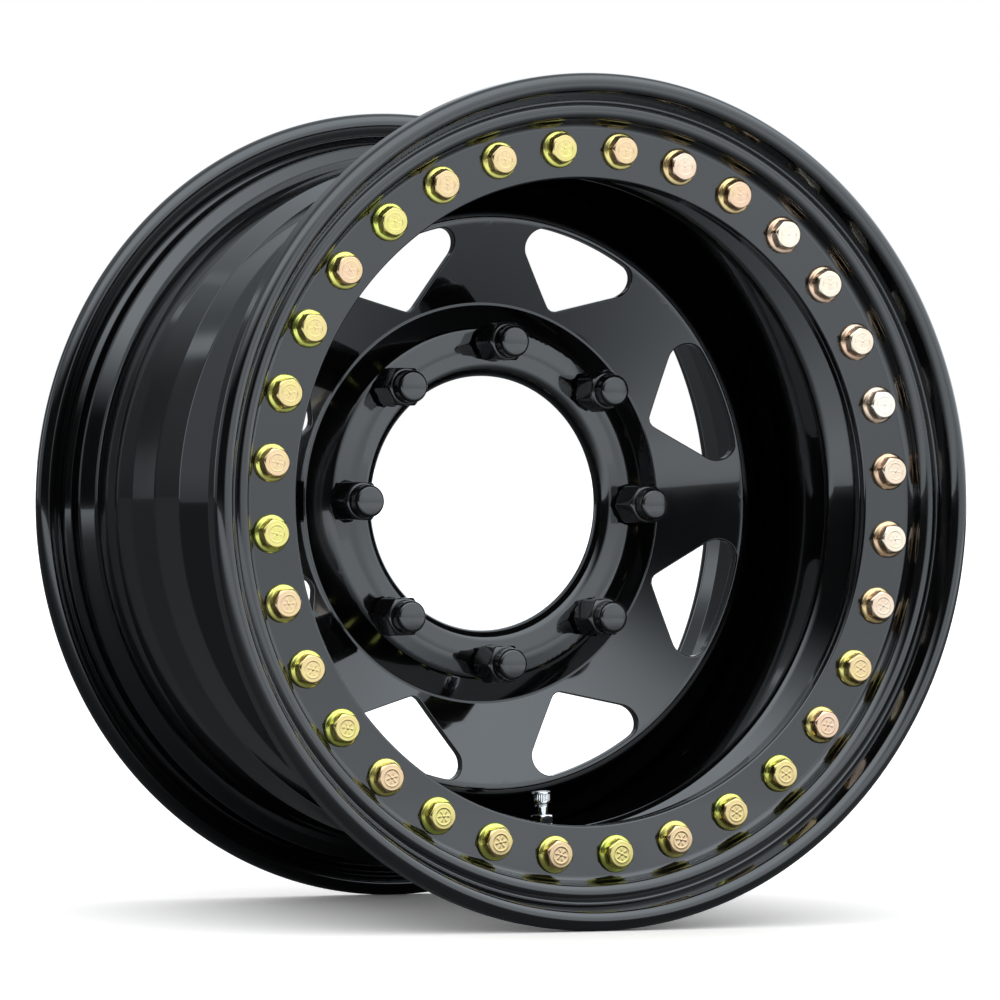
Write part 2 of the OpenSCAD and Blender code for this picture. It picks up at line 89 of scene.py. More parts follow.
@dataclass
class Profile:
    """A line of points in the plane of radius and station, with the outward unit normal at each."""

    points: Array
    normals: Array

    @staticmethod
    def through(corners: Array, closed: bool, step: float = 6.0) -> "Profile":
        """Rounds a path of corners: each corner becomes an arc tangent to both of its sides.

        Args:
            corners: Rows of radius, station and bend radius.
            closed: Whether the path returns to its first corner.
            step: Largest angle between two points of an arc, in degrees.

        Returns:
            The rounded line, with normals to the right of its direction.
        """
        count = len(corners)
        points: list[Array] = []
        normals: list[Array] = []
        for index in range(count):
            here, bend = corners[index, :2], corners[index, 2]
            at_end = not closed and index in (0, count - 1)
            before = corners[(index - 1) % count, :2]
            after = corners[(index + 1) % count, :2]
            into = after - here if at_end and index == 0 else here - before
            out = here - before if at_end and index == count - 1 else after - here
            into, out = unit(into), unit(out)
            turn = math.atan2(into[0] * out[1] - into[1] * out[0], float(into @ out))
            if at_end or abs(turn) < 1e-6 or bend <= 0:
                points.append(here[None])
                normals.append(np.array([[out[1], -out[0]]]))
                continue
            side = math.copysign(1.0, turn)
            start = here - bend * math.tan(abs(turn) / 2) * into
            centre = start + side * bend * np.array([-into[1], into[0]])
            angles = np.linspace(0, turn, max(2, math.ceil(math.degrees(abs(turn)) / step)) + 1)
            right = np.array([into[1], -into[0]])
            facing = np.outer(np.cos(angles), right) + np.outer(np.sin(angles), into)
            points.append(centre + side * bend * facing)
            normals.append(facing)
        return Profile(np.concatenate(points), np.concatenate(normals))

    def part(self, low: float, high: float) -> "Profile":
        """The stretch between two lengths along the line, cut exactly at both."""
        along = self.lengths()
        inner = (along > low + 1e-6) & (along < high - 1e-6)
        cuts = np.array([low, high])

        def cut(values: Array) -> Array:
            ends = np.stack([np.interp(cuts, along, values[:, axis]) for axis in (0, 1)], -1)
            return np.concatenate([ends[:1], values[inner], ends[1:]])

        return Profile(cut(self.points), unit(cut(self.normals)))

    def lengths(self) -> Array:
        """Distance along the line at each point."""
        return np.concatenate([[0.0], np.cumsum(np.linalg.norm(np.diff(self.points, axis=0), axis=1))])

    def crossings(self, radius: float) -> tuple[float, float]:
        """Lengths at which the line first and last crosses a radius."""
        along, gap = self.lengths(), self.points[:, 0] - radius
        found = np.nonzero(gap[:-1] * gap[1:] <= 0)[0]
        spots = [along[i] + (along[i + 1] - along[i]) * gap[i] / (gap[i] - gap[i + 1] + 1e-12) for i in found]
        return spots[0], spots[-1]

    def at(self, radius: Array) -> tuple[Array, Array]:
        """Station and normal at each radius, on a line that runs outwards."""
        lean = np.stack([np.interp(radius, self.points[:, 0], self.normals[:, axis]) for axis in (0, 1)], -1)
        return np.interp(radius, self.points[:, 0], self.points[:, 1]), unit(lean)


def moved(corners: Array, off: float) -> Array:
    """Moves a path of corners to its left, so that its bends keep their centres.

    Args:
        corners: Rows of radius, station and bend radius.
        off: Distance moved.

    Returns:
        The moved corners.
    """
    ways = unit(np.diff(corners[:, :2], axis=0))
    into = np.vstack([ways[:1], ways])
    out = np.vstack([ways, ways[-1:]])
    lean = np.stack([-into[:, 1] - out[:, 1], into[:, 0] + out[:, 0]], -1)
    turn = np.sign(np.round(into[:, 0] * out[:, 1] - into[:, 1] * out[:, 0], 9))
    spots = corners[:, :2] + 2 * off * lean / (lean**2).sum(1)[:, None]
    return np.column_stack([spots, np.maximum(0.05, corners[:, 2] - off * turn)])


def sheet_loop(corners: Array, wall: float, edge: float) -> Array:
    """Closes the section of a bent sheet.

    Args:
        corners: The path of the sheet's first face.
        wall: Thickness of the sheet, to the left of the path.
        edge: Rounding radius at the sheet's two ends.

    Returns:
        Corners of the whole section.
    """
    loop = np.vstack([corners, moved(corners, wall)[::-1]]).copy()
    count = len(corners)
    for index in (0, count - 1, count, 2 * count - 1):
        loop[index, 2] = edge
    return loop


@dataclass
class Surface:
    """A mesh under construction: points in millimetres, quads of indices, and one normal a point."""

    points: Array
    quads: Array
    normals: Array

    @staticmethod
    def grid(points: Array, normals: Array | None, round_u: bool, round_v: bool) -> "Surface":
        """A surface over a grid of points.

        Args:
            points: Array of u by v by 3.
            normals: Array of the same shape, or None to work them out from the faces.
            round_u: Whether the last row joins the first.
            round_v: Whether the last column joins the first.

        Returns:
            The surface, with its faces turned to agree with the normals.
        """
        rows, columns = points.shape[:2]
        index = np.arange(rows * columns).reshape(rows, columns)
        if round_u:
            index = np.vstack([index, index[:1]])
        if round_v:
            index = np.hstack([index, index[:, :1]])
        quads = np.stack([index[:-1, :-1], index[1:, :-1], index[1:, 1:], index[:-1, 1:]], -1).reshape(-1, 4)
        surface = Surface(points.reshape(-1, 3), quads, np.zeros((rows * columns, 3)))
        if normals is None:
            surface.normals = surface.area_normals()
        else:
            surface.normals = normals.reshape(-1, 3)
            surface.turn_faces()
        return surface

    def crosses(self) -> Array:
        """The cross product of each quad's diagonals: its normal times twice its area."""
        corners = self.points[self.quads]
        return np.cross(corners[:, 2] - corners[:, 0], corners[:, 3] - corners[:, 1])

    def area_normals(self) -> Array:
        """Normals at the points, each the mean of its faces weighted by area."""
        crosses, total = self.crosses(), np.zeros_like(self.points)
        for corner in range(4):
            np.add.at(total, self.quads[:, corner], crosses)
        return unit(total)

    def turn_faces(self) -> None:
        """Turns each quad over whose winding disagrees with its points' normals."""
        wrong = (self.crosses() * self.normals[self.quads].sum(1)).sum(1) < 0
        self.quads[wrong] = self.quads[wrong][:, ::-1]

    def outward(self) -> "Surface":
        """Turns a closed surface the right way out, by the sign of its volume."""
        if (self.points[self.quads[:, 0]] * self.crosses()).sum() < 0:
            self.quads = self.quads[:, ::-1].copy()
            self.normals = -self.normals
        return self

    def placed(self, turn: Array, shift: Array) -> "Surface":
        """A copy that is turned and then moved."""
        return Surface(self.points @ turn.T + shift, self.quads.copy(), self.normals @ turn.T)

    @staticmethod
    def joined(parts: list["Surface"]) -> "Surface":
        """One surface from several, unwelded."""
        starts = np.cumsum([0] + [len(part.points) for part in parts[:-1]])
        return Surface(
            np.concatenate([part.points for part in parts]),
            np.concatenate([part.quads + start for part, start in zip(parts, starts)]),
            np.concatenate([part.normals for part in parts]),
        )

    def welded(self) -> "Surface":
        """Joins points at the same place. A normal becomes the mean of those it joins."""
        _, first, where = np.unique(np.round(self.points, 4), axis=0, return_index=True, return_inverse=True)
        where = where.ravel()
        total = np.zeros((len(first), 3))
        np.add.at(total, where, self.normals)
        return Surface(self.points[first], where[self.quads], unit(total))

    def piece(self, name: str, finish: "Finish", attributes: dict[str, Array] | None = None) -> bpy.types.Object:
        """Writes the surface into a new Blender object.

        Args:
            name: The object's name.
            finish: Its material.
            attributes: Named values, one a point, that the material reads.

        Returns:
            The object, linked to the scene.
        """
        faces = [list(dict.fromkeys(quad)) for quad in self.quads.tolist()]
        faces = [face for face in faces if len(face) > 2]
        mesh = bpy.data.meshes.new(name)
        mesh.from_pydata((self.points * MM).tolist(), [], faces)
        mesh.update()
        mesh.polygons.foreach_set("use_smooth", np.ones(len(mesh.polygons), bool))
        mesh.normals_split_custom_set_from_vertices(self.normals.tolist())
        for key, values in (attributes or {}).items():
            mesh.attributes.new(key, "FLOAT", "POINT").data.foreach_set("value", values.astype(np.float32))
        thing = bpy.data.objects.new(name, mesh)
        bpy.context.scene.collection.objects.link(thing)
        mesh.materials.append(finish.material())
        return thing


def revolved(profile: Profile, angles: Array, closed: bool) -> Surface:
    """Turns a profile round the axle: each point runs along a circle of its own radius.

    Args:
        profile: The line that is turned.
        angles: Angles clockwise from the top, in radians, over a whole turn.
        closed: Whether the profile returns to its first point.

    Returns:
        The surface.
    """
    spin = np.stack([np.sin(angles), np.ones_like(angles), np.cos(angles)], -1)
    points, normals = (flat[:, None, [0, 1, 0]] * spin for flat in (profile.points, profile.normals))
    return Surface.grid(points, normals, closed, True)


def even_angles(count: int, first: float = 0.0) -> Array:
    """Evenly spaced angles over a whole turn, in radians."""
    return first + np.arange(count) * FULL_TURN / count


def turned(corners: Array, steps: int) -> Surface:
    """The ring that a closed path of corners makes round the axle."""
    return revolved(Profile.through(corners, closed=True), even_angles(steps), closed=True).welded()


def about_axle(angle: float) -> Array:
    """The matrix of a turn round the axle, in degrees."""
    a = math.radians(angle)
    return np.array([[math.cos(a), 0, math.sin(a)], [0, 1, 0], [-math.sin(a), 0, math.cos(a)]])


def on_face(angle: float, station: float, radius: float) -> tuple[Array, Array]:
    """The turn and shift that stand a piece on the wheel's face, with its own z out of the face.

    Args:
        angle: Angle round the wheel, in degrees.
        station: Station along the axle.
        radius: Distance from the axle.

    Returns:
        A rotation matrix and a translation.
    """
    spin = about_axle(angle)
    lie = np.array([[1, 0, 0], [0, 0, -1], [0, 1, 0]])
    return spin @ lie, spin @ np.array([0, station, radius])


def wrench_radius(angle: Array, flats: float, sharpness: float = 70.0) -> Array:
    """Radius of a hexagon with slightly rounded corners, from a power mean of its six sides.

    Args:
        angle: Angles, in radians. A corner stands at zero.
        flats: Width across the flats.
        sharpness: Power of the mean.

    Returns:
        The radius at each angle.
    """
    sides = math.radians(30) + np.arange(6) * math.pi / 3
    reach = np.maximum(np.cos(angle[..., None] - sides), 0)
    return flats / 2 * (reach**sharpness).sum(-1) ** (-1 / sharpness)


def soft_min(a: Array, b: Array | float, power: float = 60.0) -> Array:
    """The lesser of two lengths, with a short blend where they meet."""
    return (a**-power + b**-power) ** (-1 / power)


def soft_max(a: Array, b: Array | float, power: float = 60.0) -> Array:
    """The greater of two lengths, with a short blend where they meet."""
    return (a**power + b**power) ** (1 / power)


def stacked(rows: Rows, angle: Array, loop: bool) -> Surface:
    """A surface of closed rings about z: each row has a radius and a height at every angle.

    Args:
        rows: Radius and height of each row, as numbers or as one value an angle.
        angle: The angles, in radians.
        loop: Whether the last row joins the first. Otherwise both end rows have no radius.

    Returns:
        The closed surface, facing outwards.
    """
    radius, height = (np.stack([np.broadcast_to(row[k], angle.shape) for row in rows]) for k in (0, 1))
    points = np.stack([radius * np.cos(angle), radius * np.sin(angle), height], -1)
    return Surface.grid(points, None, loop, True).outward().welded()


@dataclass
class Graph:
    """The nodes of a material or a world."""

    tree: bpy.types.NodeTree

    def feed(self, target: Socket, value: Socket | float | tuple[float, ...]) -> None:
        """Links a socket to another one, or gives it a value of its own."""
        if isinstance(value, Socket):
            self.tree.links.new(value, target)
        else:
            target.default_value = value

    def add(self, kind: str, inputs: dict | None = None, **settings: str) -> bpy.types.Node:
        """Adds a node.

        Args:
            kind: Its type, without the leading ShaderNode.
            inputs: A value or a source for each of its sockets, by name or number.
            **settings: Its properties, which are set before its sockets.

        Returns:
            The node.
        """
        made = self.tree.nodes.new("ShaderNode" + kind)
        for key, value in settings.items():
            setattr(made, key, value)
        for key, value in (inputs or {}).items():
            self.feed(made.inputs[key], value)
        return made

    def place(self, kind: str = "Object") -> Socket:
        """Coordinates of the shaded point."""
        return self.add("TexCoord").outputs[kind]

    def math(self, operation: str, *values: Socket | float) -> Socket:
        """One operation on numbers and sockets."""
        return self.add("Math", dict(enumerate(values)), operation=operation).outputs[0]

    def spread(self, value: Socket, start: float, end: float, low: Socket | float, high: Socket | float,
               kind: str = "LINEAR") -> Socket:
        """Maps the range from start to end to the range from low to high."""
        inputs = {"Value": value, "From Min": start, "From Max": end, "To Min": low, "To Max": high}
        return self.add("MapRange", inputs, interpolation_type=kind).outputs["Result"]

    def noise(self, place: Socket, scale: float, detail: float) -> Socket:
        """A noise pattern over the given coordinates."""
        return self.add("TexNoise", {"Vector": place, "Scale": scale, "Detail": detail}).outputs["Fac"]

    def bump(self, height: Socket, depth: float, below: dict | None = None) -> Socket:
        """A normal that is bent by a height pattern of the given depth, in metres."""
        inputs = {"Strength": 1.0, "Distance": depth, "Height": height}
        return self.add("Bump", inputs | (below or {})).outputs["Normal"]

    def mix(self, factor: Socket, low: Socket | tuple[float, ...], high: tuple[float, ...]) -> Socket:
        """A colour between two others."""
        return self.add("Mix", {"Factor": factor, "A": low, "B": high}, data_type="RGBA").outputs["Result"]

    def ramp(self, value: Socket, stops: list[tuple[float, tuple[float, ...]]]) -> Socket:
        """Looks a value up in a row of colours.

        Args:
            value: The value, from 0 to 1.
            stops: Position and colour of each stop.

        Returns:
            The colour at the value.
        """
        made = self.add("ValToRGB", {"Fac": value})
        steps = made.color_ramp.elements
        while len(steps) < len(stops):
            steps.new(0.5)
        for index, (position, colour) in enumerate(stops):
            steps[index].position, steps[index].color = position, (*colour, 1)
        return made.outputs["Color"]


@dataclass(frozen=True)
class Finish:
    """A plain shader with a fine grain, in cycles to the metre and metres of height."""

    name: str
    colour: tuple[float, float, float]
    metal: float = 0.0
    rough: float = 0.4
    coat: float = 0.0
    grain: float = 900.0
    grain_depth: float = 0.00001

    def material(self) -> bpy.types.Material:
        """The Blender material, made once."""
        made = bpy.data.materials.get(self.name)
        if made is None:
            made = bpy.data.materials.new(self.name)
            made.use_nodes = True
            shader = made.node_tree.nodes["Principled BSDF"]
            for key, value in (("Base Color", (*self.colour, 1)), ("Metallic", self.metal), ("Roughness", self.rough),
                               ("Coat Weight", self.coat), ("Coat Roughness", COAT_ROUGH)):
                shader.inputs[key].default_value = value
            graph = Graph(made.node_tree)
            self.dress(graph, shader, graph.place())
        return made

    def dress(self, graph: Graph, shader: bpy.types.Node, place: Socket) -> None:
        """Adds the surface's own detail: here a fine grain in height and gloss."""
        grain = graph.noise(place, self.grain, 3)
        graph.feed(shader.inputs["Normal"], graph.bump(grain, self.grain_depth))
        self.vary(graph, shader, grain, 1.2)

    def vary(self, graph: Graph, shader: bpy.types.Node, pattern: Socket, most: float, least: float = 0.8) -> None:
        """Lets the roughness follow a pattern between two multiples of its own value."""
        rough = graph.spread(pattern, *NOISE_RANGE, self.rough * least, self.rough * most)
        graph.feed(shader.inputs["Roughness"], rough)


@dataclass(frozen=True)
class PowderCoat(Finish):
    """Gloss black powder coat: a faint orange peel over slow waves of the rolled steel.

    Patterns are given in cycles to the metre, and depths in metres.
    """

    peel: float = 420.0
    peel_depth: float = 0.000004
    wave: float = 14.0
    wave_depth: float = 0.00006
    drift: float = 30.0

    def dress(self, graph: Graph, shader: bpy.types.Node, place: Socket) -> None:
        """Two layers of height, and a gloss that drifts slightly."""
        waves = graph.bump(graph.noise(place, self.wave, 1), self.wave_depth)
        peel = graph.bump(graph.noise(place, self.peel, 2), self.peel_depth, {"Normal": waves})
        graph.feed(shader.inputs["Normal"], peel)
        self.vary(graph, shader, graph.noise(place, self.drift, 2), 1.3)


@dataclass(frozen=True)
class ZincPlate(Finish):
    """Yellow zinc plate whose thin film shifts between green, gold, rose and cream.

    Attributes:
        film: Its colours, from thin to thick.
        cloud: Cycles of the cloudy drift to the metre.
        cloud_share: How far the drift moves the tone.
    """

    film: tuple[tuple[float, float, float], ...] = (
        (0.52, 0.70, 0.12), (0.74, 0.70, 0.18), (0.76, 0.58, 0.26),
        (0.78, 0.52, 0.36), (0.86, 0.74, 0.58), (0.90, 0.80, 0.70))
    cloud: float = 90.0
    cloud_share: float = 0.25

    def dress(self, graph: Graph, shader: bpy.types.Node, place: Socket) -> None:
        """Colours the plate by each bolt's tone, which holds its own tone and painted light that is paler on the right
        of the wheel, and by a cloudy drift over it.
        """
        # The tone attribute carries each bolt's own tone and painted light, paler on the right of the wheel.
        tone = graph.add("Attribute", attribute_name="film_tone_and_painted_light").outputs["Fac"]
        clouds = graph.noise(place, self.cloud, 2)
        stops = [(index / (len(self.film) - 1), colour) for index, colour in enumerate(self.film)]
        colour = graph.ramp(graph.math("MULTIPLY_ADD", clouds, self.cloud_share, tone), stops)
        graph.feed(shader.inputs["Base Color"], colour)
        grain = graph.noise(place, self.grain, 3)
        graph.feed(shader.inputs["Normal"], graph.bump(grain, self.grain_depth))
        self.vary(graph, shader, clouds, 1.25)


BLACK = PowderCoat("gloss_black_coat", (0.002, 0.002, 0.0022), rough=0.10, coat=1.0)
RING_BLACK = PowderCoat("gloss_black_ring", (0.002, 0.002, 0.0022), rough=0.12, coat=1.0, wave_depth=0.00002)
NUT_BLACK = Finish("gloss_black_nut", (0.006, 0.006, 0.0065), rough=0.24, coat=1.0, grain=700.0, grain_depth=0.000004)
ZINC = ZincPlate("yellow_zinc_plate", (0.8, 0.7, 0.4), metal=1.0, rough=0.22, grain=1500.0, grain_depth=0.000004)
CHROME = Finish("bright_chrome", (0.85, 0.85, 0.87), metal=1.0, rough=0.08, grain=1200.0, grain_depth=0.000002)
BRASS = Finish("turned_brass", (0.78, 0.58, 0.26), metal=1.0, rough=0.25)
RUBBER = Finish("moulded_rubber", (0.02, 0.02, 0.02), rough=0.65)
PLASTIC = Finish("white_plastic", (0.8, 0.78, 0.7), rough=0.4)
WIRE = Finish("drawn_wire", (0.6, 0.6, 0.62), metal=1.0, rough=0.3)


def settle(thing: bpy.types.Object, body: Body, slot: Slot, *nodes: str) -> None:
    """Rides a new piece on its body and says which CAD nodes it stands for.

    Args:
        thing: The new piece.
        body: The body that carries it.
        slot: The record's slot for its finish; not used.
        *nodes: The CAD nodes that it replaces.
    """
    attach(thing, body.value)
    if nodes:
        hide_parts(*nodes)
    log.info("%s: %d faces, for %s", thing.name, len(thing.data.polygons), ", ".join(nodes) or "no node")


@dataclass
class Barrel:
    """The rolled rim, from the welded front edge to the rolled rear lip."""

    wall: float = 4.0
    edge: float = 0.6
    front: float = -107.0
    seat_r: float = 189.5
    seat_end: float = -83.2
    well_r: float = 169.4
    well_front: float = -71.6
    well_end: float = -34.4
    land_r: float = 177.2
    land_front: float = -14.2
    land_end: float = 14.0
    taper_r: float = 183.0
    rear: float = 101.6
    lip_r: float = 206.2
    roll: float = 6.0
    steps: int = 288

    def corners(self) -> Array:
        """The path of the outer face, from the front, as radius, station and bend radius."""
        rear, lip = self.rear, self.lip_r
        return np.array([
            [self.seat_r, self.front, 0], [self.seat_r, self.seat_end, 8], [self.well_r, self.well_front, 2.2],
            [self.well_r, self.well_end, 12], [self.land_r, self.land_front, 5], [self.land_r, self.land_end, 25],
            [self.land_r + 2.78, self.land_end + 22, 25], [self.land_r + 3.77, self.land_end + 41, 25],
            [self.taper_r, rear - 29, 5], [self.seat_r, rear - 21.5, 4], [self.seat_r, rear - 13.5, 3],
            [self.seat_r + 4.7, rear - 7.7, 0.3], [lip - self.roll - 3.7, rear - 2 * self.roll, self.roll],
            [lip, rear - 2 * self.roll, self.roll], [lip, rear, self.roll], [lip - self.roll - 1, rear, 0],
        ])

    def build(self) -> None:
        """Turns the sheet's section round the axle."""
        surface = turned(sheet_loop(self.corners(), self.wall, self.edge), self.steps)
        settle(surface.piece("rolled_barrel", BLACK), Body.WHEEL, Slot.BLACK, "barrel")


@dataclass
class Rings:
    """The welded bead ring and the clamp ring with its two pressed beads."""

    face: float = -116.4
    clamp_wall: float = 4.8
    clamp_edge: float = 1.3
    bead_wall: float = 4.6
    inner_r: float = 162.1
    seat_r: float = 189.5
    bead_r: float = 190.6
    bead_h: float = 9.9
    bead_crown: float = 5.4
    lip_r: float = 214.0
    lip_h: float = 19.0
    lip_crown: float = 5.2
    skirt: float = 12.0
    steps: int = 288

    def clamp_corners(self) -> Array:
        """The path of the clamp ring's front face, from its inner edge, as radius, station and bend radius."""
        face, valley = self.face, self.bead_r + 9.8
        return np.array([
            [self.inner_r, face, 0], [self.bead_r, face, 4], [self.bead_r, face - self.bead_h, self.bead_crown],
            [valley - 2.7, face - self.bead_h, self.bead_crown], [valley, face - self.bead_h + 1.9, 1],
            [self.lip_r - 8.5, face - self.lip_h, self.lip_crown], [self.lip_r, face - self.lip_h, self.lip_crown],
            [self.lip_r, face - self.lip_h + self.skirt, 0],
        ])

    def build(self) -> None:
        """Turns both sections round the axle."""
        seam = self.face + self.clamp_wall
        back = seam + self.bead_wall
        flat = np.array([
            [self.inner_r, seam, 0.6], [self.seat_r, seam, 0.6], [self.seat_r, back, 0.3], [self.inner_r, back, 0.6],
        ])
        clamp = sheet_loop(self.clamp_corners(), self.clamp_wall, self.clamp_edge)
        for name, node, section in (("pressed_clamp_ring", "clamp_ring", clamp), ("flat_bead_ring", "bead_ring", flat)):
            settle(turned(section, self.steps).piece(name, RING_BLACK), Body.WHEEL, Slot.BLACK, node)


@dataclass
class WheelCentre:
    """The pressed dish: hub bore, raised lug band, windowed spoke face, shoulder and welding flange."""

    wall: float = 5.0
    edge: float = 0.6
    hub_r: float = 65.4
    bore_end: float = -3.9
    bore_round: float = 7.5
    lug_r: float = 82.55
    pad_face: float = -13.0
    dome_drop: float = 0.4
    crease_r: float = 103.2
    crease_w: float = 1.3
    shoulder_r: float = 148.3
    shoulder: float = -23.1
    flange_r: float = 173.1
    flare: float = 49.3
    edge_length: float = 16.0
    holes: int = 8
    lug_hole_r: float = 7.4
    seat_depth: float = 1.75
    seat_lean: float = 30.0
    window_angle: float = 21.2
    window_outer_r: float = 144.2
    window_inner_r: float = 107.0
    window_half: float = 9.9
    window_corner: float = 8.8
    window_tip: float = 5.3
    window_edge: float = 0.7
    lug_band: tuple[float, float] = (72.5, 93.5)
    window_band: tuple[float, float] = (104.8, 145.6)
    arc_steps: int = 32
    side_steps: int = 20
    web_rows: int = 9
    wall_rows: int = 5
    outer_points: int = 30
    corner_points: int = 80
    side_points: int = 60

    def corners(self) -> Array:
        """The path of the front face, from the bore outwards, as radius, station and bend radius."""
        flare_end = (self.flange_r - self.shoulder_r) * math.tan(math.radians(self.flare)) + self.shoulder
        return np.array([
            [self.hub_r, self.bore_end, 0], [self.hub_r, self.pad_face + 1.8, self.bore_round],
            [self.lug_r - 3.0, self.pad_face, 30], [self.lug_r + 7.5, self.pad_face + 1.3, 9],
            [self.crease_r - self.crease_w, -self.wall, 1.2], [self.crease_r, -self.wall, 1],
            [self.shoulder_r, self.shoulder, 7], [self.flange_r, flare_end, 9],
            [self.flange_r, flare_end + self.edge_length, 0],
        ])

    def window_line(self, off: float) -> Array:
        """The window's outline grown by a distance: an outer arc, two corners, straight sides and a tip.

        Args:
            off: Distance grown.

        Returns:
            Points along and across the window's own radius, in order of angle about its middle.
        """
        half = math.radians(self.window_half)
        orbit = self.window_outer_r - self.window_corner
        corner = orbit * np.array([math.cos(half), math.sin(half)])
        tip = np.array([self.window_inner_r + self.window_tip, 0])
        way = corner - tip
        side = math.atan2(way[1], way[0]) + math.acos((self.window_tip - self.window_corner) / np.linalg.norm(way))

        def arc(centre: Array, radius: float, start: float, end: float, count: int) -> Array:
            angle = np.linspace(start, end, count)
            return centre + radius * np.stack([np.cos(angle), np.sin(angle)], -1)

        corner_arc = arc(corner, self.window_corner + off, half, side, self.corner_points)
        tip_arc = arc(tip, self.window_tip + off, side, math.pi, self.side_points)
        upper = np.concatenate([
            arc(np.zeros(2), self.window_outer_r + off, 0, half, self.outer_points),
            corner_arc[1:],
            np.linspace(corner_arc[-1], tip_arc[0], self.side_points)[1:-1],
            tip_arc,
        ])
        return np.concatenate([upper, (upper * [1, -1])[::-1][1:-1]])

    def window_middle(self) -> Array:
        """A point well inside the window."""
        return np.array([(self.window_inner_r + self.window_outer_r) / 2 + 3, 0.0])

    def window_rim(self, angle: Array, off: float) -> Array:
        """Points of the grown outline in given directions from the window's middle."""
        middle = self.window_middle()
        line = self.window_line(off) - middle
        way, far = np.arctan2(line[:, 1], line[:, 0]), np.linalg.norm(line, axis=1)
        order = np.argsort(way)
        reach = np.interp(angle, way[order], far[order], period=FULL_TURN)
        return middle + reach[:, None] * np.stack([np.cos(angle), np.sin(angle)], -1)

    def sector_edge(self, band: tuple[float, float], start: float) -> Array:
        """Points round one sector of a band.

        Args:
            band: Inner and outer radius.
            start: Angle of the sector's first side from the hole, in radians.

        Returns:
            The points along and across the hole's own radius.
        """
        span = FULL_TURN / self.holes
        corners = [(band[0], start), (band[0], start + span), (band[1], start + span), (band[1], start)]
        counts = (self.arc_steps, self.side_steps) * 2
        polar = np.concatenate([
            np.linspace(here, there, count, endpoint=False)
            for here, there, count in zip(corners, corners[1:] + corners[:1], counts)
        ])
        return polar[:, :1] * np.stack([np.cos(polar[:, 1]), np.sin(polar[:, 1])], -1)

    def web(self, branch: Profile, rim: Array, edge: Array) -> tuple[Array, Array]:
        """Points and normals of the sheet from a hole's rim to the edge of its sector, straight in plan."""
        share = np.linspace(0, 1, self.web_rows)[:, None, None]
        return self.lifted(branch, rim + (edge - rim) * share)

    @staticmethod
    def lifted(branch: Profile, plan: Array) -> tuple[Array, Array]:
        """Sets points in plan on a face.

        Args:
            branch: The face.
            plan: Points along and across the hole's own radius.

        Returns:
            The points with their station, and the face's normal at each.
        """
        radius = np.linalg.norm(plan, axis=-1)
        station, lean = branch.at(radius)
        along = plan / radius[..., None]
        normal = np.concatenate([along * lean[..., :1], lean[..., 1:]], -1)
        return np.concatenate([plan, station[..., None]], -1), normal

    @staticmethod
    def round_wheel(points: Array, angle: float) -> Array:
        """Carries plan coordinates to the wheel's frame at an angle, in radians."""
        sine, cosine = math.sin(angle), math.cos(angle)
        return points @ np.array([[sine, 0, cosine], [cosine, 0, -sine], [0, 1, 0]])

    def window_wall(self, front: Profile, rear: Profile, angle: Array) -> tuple[Array, Array]:
        """The cut wall of a window: a quarter circle over each edge, joined by a straight wall.

        Args:
            front: The front face.
            rear: The rear face.
            angle: Directions from the window's middle.

        Returns:
            Points and normals in plan coordinates, as rows from front to rear.
        """
        edge = self.window_edge
        around = np.linspace(0, math.pi / 2, self.wall_rows)
        rows = [(front, 1.0, turn) for turn in around] + [(rear, -1.0, turn) for turn in around[::-1]]
        points, normals = [], []
        for branch, sign, turn in rows:
            plan = self.window_rim(angle, edge * (1 - math.sin(turn)))
            spot, face = self.lifted(branch, plan)
            spot[:, 2] += sign * edge * (1 - math.cos(turn))
            way = np.roll(plan, -1, axis=0) - np.roll(plan, 1, axis=0)
            out = unit(np.stack([way[:, 1], -way[:, 0]], -1))
            out *= np.sign((out * (plan - self.window_middle())).sum(1))[:, None]
            points.append(spot)
            normals.append(face * math.cos(turn) + np.column_stack([-out, np.zeros(len(out))]) * math.sin(turn))
        return np.stack(points), unit(np.stack(normals))

    def lug_wall(self, front: Profile, rear: Profile, angle: Array) -> tuple[Array, Array, Array]:
        """The cone seat and straight wall of a lug hole.

        Args:
            front: The front face.
            rear: The rear face.
            angle: Directions from the hole's centre.

        Returns:
            Rows of points, rows of normals, and the rim on the front face in plan.
        """
        lean = math.radians(self.seat_lean)
        floor = self.pad_face + self.dome_drop + self.seat_depth
        centre = np.array([self.lug_r, 0.0])
        way = np.stack([np.cos(angle), np.sin(angle)], -1)
        reach = np.full(len(angle), self.lug_hole_r + 1)
        for _ in range(6):
            station, _lean = front.at(np.linalg.norm(centre + reach[:, None] * way, axis=1))
            reach = self.lug_hole_r + np.maximum(floor - station, 0.1) * math.tan(lean)
        rim = centre + reach[:, None] * way
        hole = centre + self.lug_hole_r * way
        top, _lean = front.at(np.linalg.norm(rim, axis=1))
        low, _lean = rear.at(np.linalg.norm(hole, axis=1))
        flat = np.full(len(angle), floor)
        points = np.stack([np.column_stack(row) for row in ((rim, top), (hole, flat), (hole, flat), (hole, low))])
        cone = np.column_stack([-way * math.cos(lean), np.full(len(angle), -math.sin(lean))])
        wall = np.column_stack([-way, np.zeros(len(angle))])
        return points, np.stack([cone, cone, wall, wall]), rim

